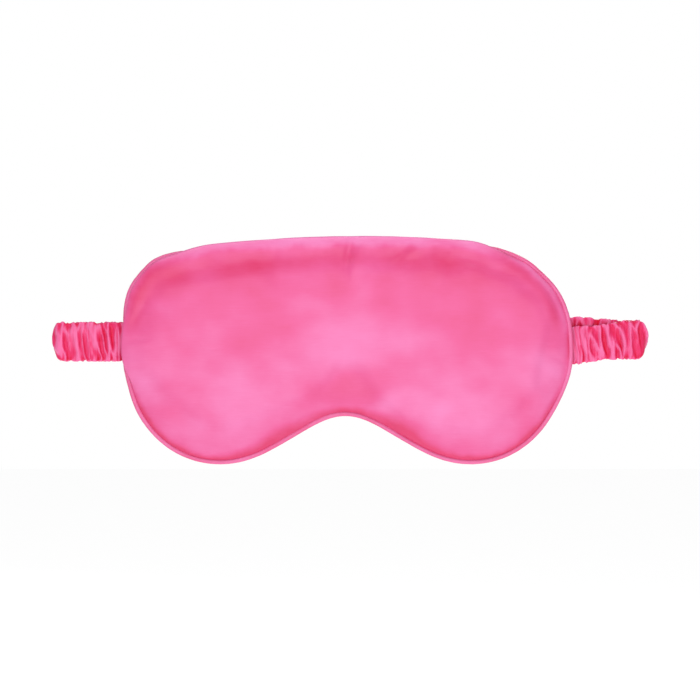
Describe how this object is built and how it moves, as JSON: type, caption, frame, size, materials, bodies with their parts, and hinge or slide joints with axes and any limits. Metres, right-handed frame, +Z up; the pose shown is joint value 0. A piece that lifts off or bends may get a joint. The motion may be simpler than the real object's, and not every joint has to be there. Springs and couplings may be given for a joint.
{
  "type": "sleep eye mask",
  "caption": "Padded satin sleep eye mask with a piped rim and a nose notch, on a gathered elastic strap whose flat loop opens to go round the head.",
  "frame": {"origin": "middle of the side of the mask that lies on the face, halfway between its ends and halfway up", "axes": "+X to the right as seen from the satin front, +Y from the mask towards the wearer's head, +Z up as worn"},
  "size_m": [0.278, 0.0133, 0.1058],
  "materials": {
    "front_satin": "satin",
    "back_satin": "satin",
    "piping_satin": "satin",
    "casing_satin": "gathered satin",
    "tail_satin": "satin",
    "lining_cloth": "matt woven",
    "batting": "soft polyester wadding",
    "cord_cotton": "twisted cotton",
    "elastic_webbing": "woven elastic",
    "sewing_thread": "twisted polyester"
  },
  "bodies": {
    "mask": {"front_panel": "front_satin", "blackout_lining": "lining_cloth", "batting_pad": "batting", "back_panel": "back_satin", "piping_sleeve": "piping_satin", "piping_cord": "cord_cotton", "closing_stitch": "sewing_thread", "casing_tail_right": "tail_satin", "casing_tail_left": "tail_satin", "elastic_tail_right": "elastic_webbing", "elastic_tail_left": "elastic_webbing"},
    "arm_right": {"casing_arm_right": "casing_satin", "elastic_arm_right": "elastic_webbing", "casing_fold_right": "casing_satin", "elastic_fold_right": "elastic_webbing"},
    "run_right": {"casing_run_right": "casing_satin", "elastic_run_right": "elastic_webbing"},
    "centre_right": {"casing_centre_right": "casing_satin", "elastic_centre_right": "elastic_webbing"},
    "arm_left": {"casing_arm_left": "casing_satin", "elastic_arm_left": "elastic_webbing", "casing_fold_left": "casing_satin", "elastic_fold_left": "elastic_webbing"},
    "run_left": {"casing_run_left": "casing_satin", "elastic_run_left": "elastic_webbing"},
    "centre_left": {"casing_centre_left": "casing_satin", "elastic_centre_left": "elastic_webbing"}
  },
  "joints": [
    {"name": "strap_seam_right", "type": "hinge", "parent": "mask", "child": "arm_right", "pos_m": [0.105, -0.0006, 0.0035], "axis": [0, 0, 1], "range_deg": [0, 60], "stiffness_Nm_per_rad": 0.002},
    {"name": "strap_fold_right", "type": "hinge", "parent": "arm_right", "child": "run_right", "pos_m": [0.13555, -0.00015, 0.0035], "axis": [0, 0, 1], "range_deg": [-92.8, 0], "deforming": ["casing_fold_right", "elastic_fold_right"]},
    {"name": "strap_bend_right", "type": "hinge", "parent": "run_right", "child": "centre_right", "pos_m": [0.038, 0.0003, 0.0035], "axis": [0, 0, 1], "range_deg": [0, 32.8]},
    {"name": "strap_seam_left", "type": "hinge", "parent": "mask", "child": "arm_left", "pos_m": [-0.105, -0.0006, 0.0035], "axis": [0, 0, 1], "range_deg": [-60, 0]},
    {"name": "strap_fold_left", "type": "hinge", "parent": "arm_left", "child": "run_left", "pos_m": [-0.13555, -0.00015, 0.0035], "axis": [0, 0, 1], "range_deg": [0, 92.8], "deforming": ["casing_fold_left", "elastic_fold_left"]},
    {"name": "strap_bend_left", "type": "hinge", "parent": "run_left", "child": "centre_left", "pos_m": [-0.038, 0.0003, 0.0035], "axis": [0, 0, 1], "range_deg": [-32.8, 0]}
  ],
  "couplings": [
    {"joint": "strap_fold_right", "follows": "strap_seam_right", "ratio": -1.5443},
    {"joint": "strap_bend_right", "follows": "strap_seam_right", "ratio": 0.5443},
    {"joint": "strap_seam_left", "follows": "strap_seam_right", "ratio": -1},
    {"joint": "strap_fold_left", "follows": "strap_seam_right", "ratio": 1.5443},
    {"joint": "strap_bend_left", "follows": "strap_seam_right", "ratio": -0.5443}
  ]
}
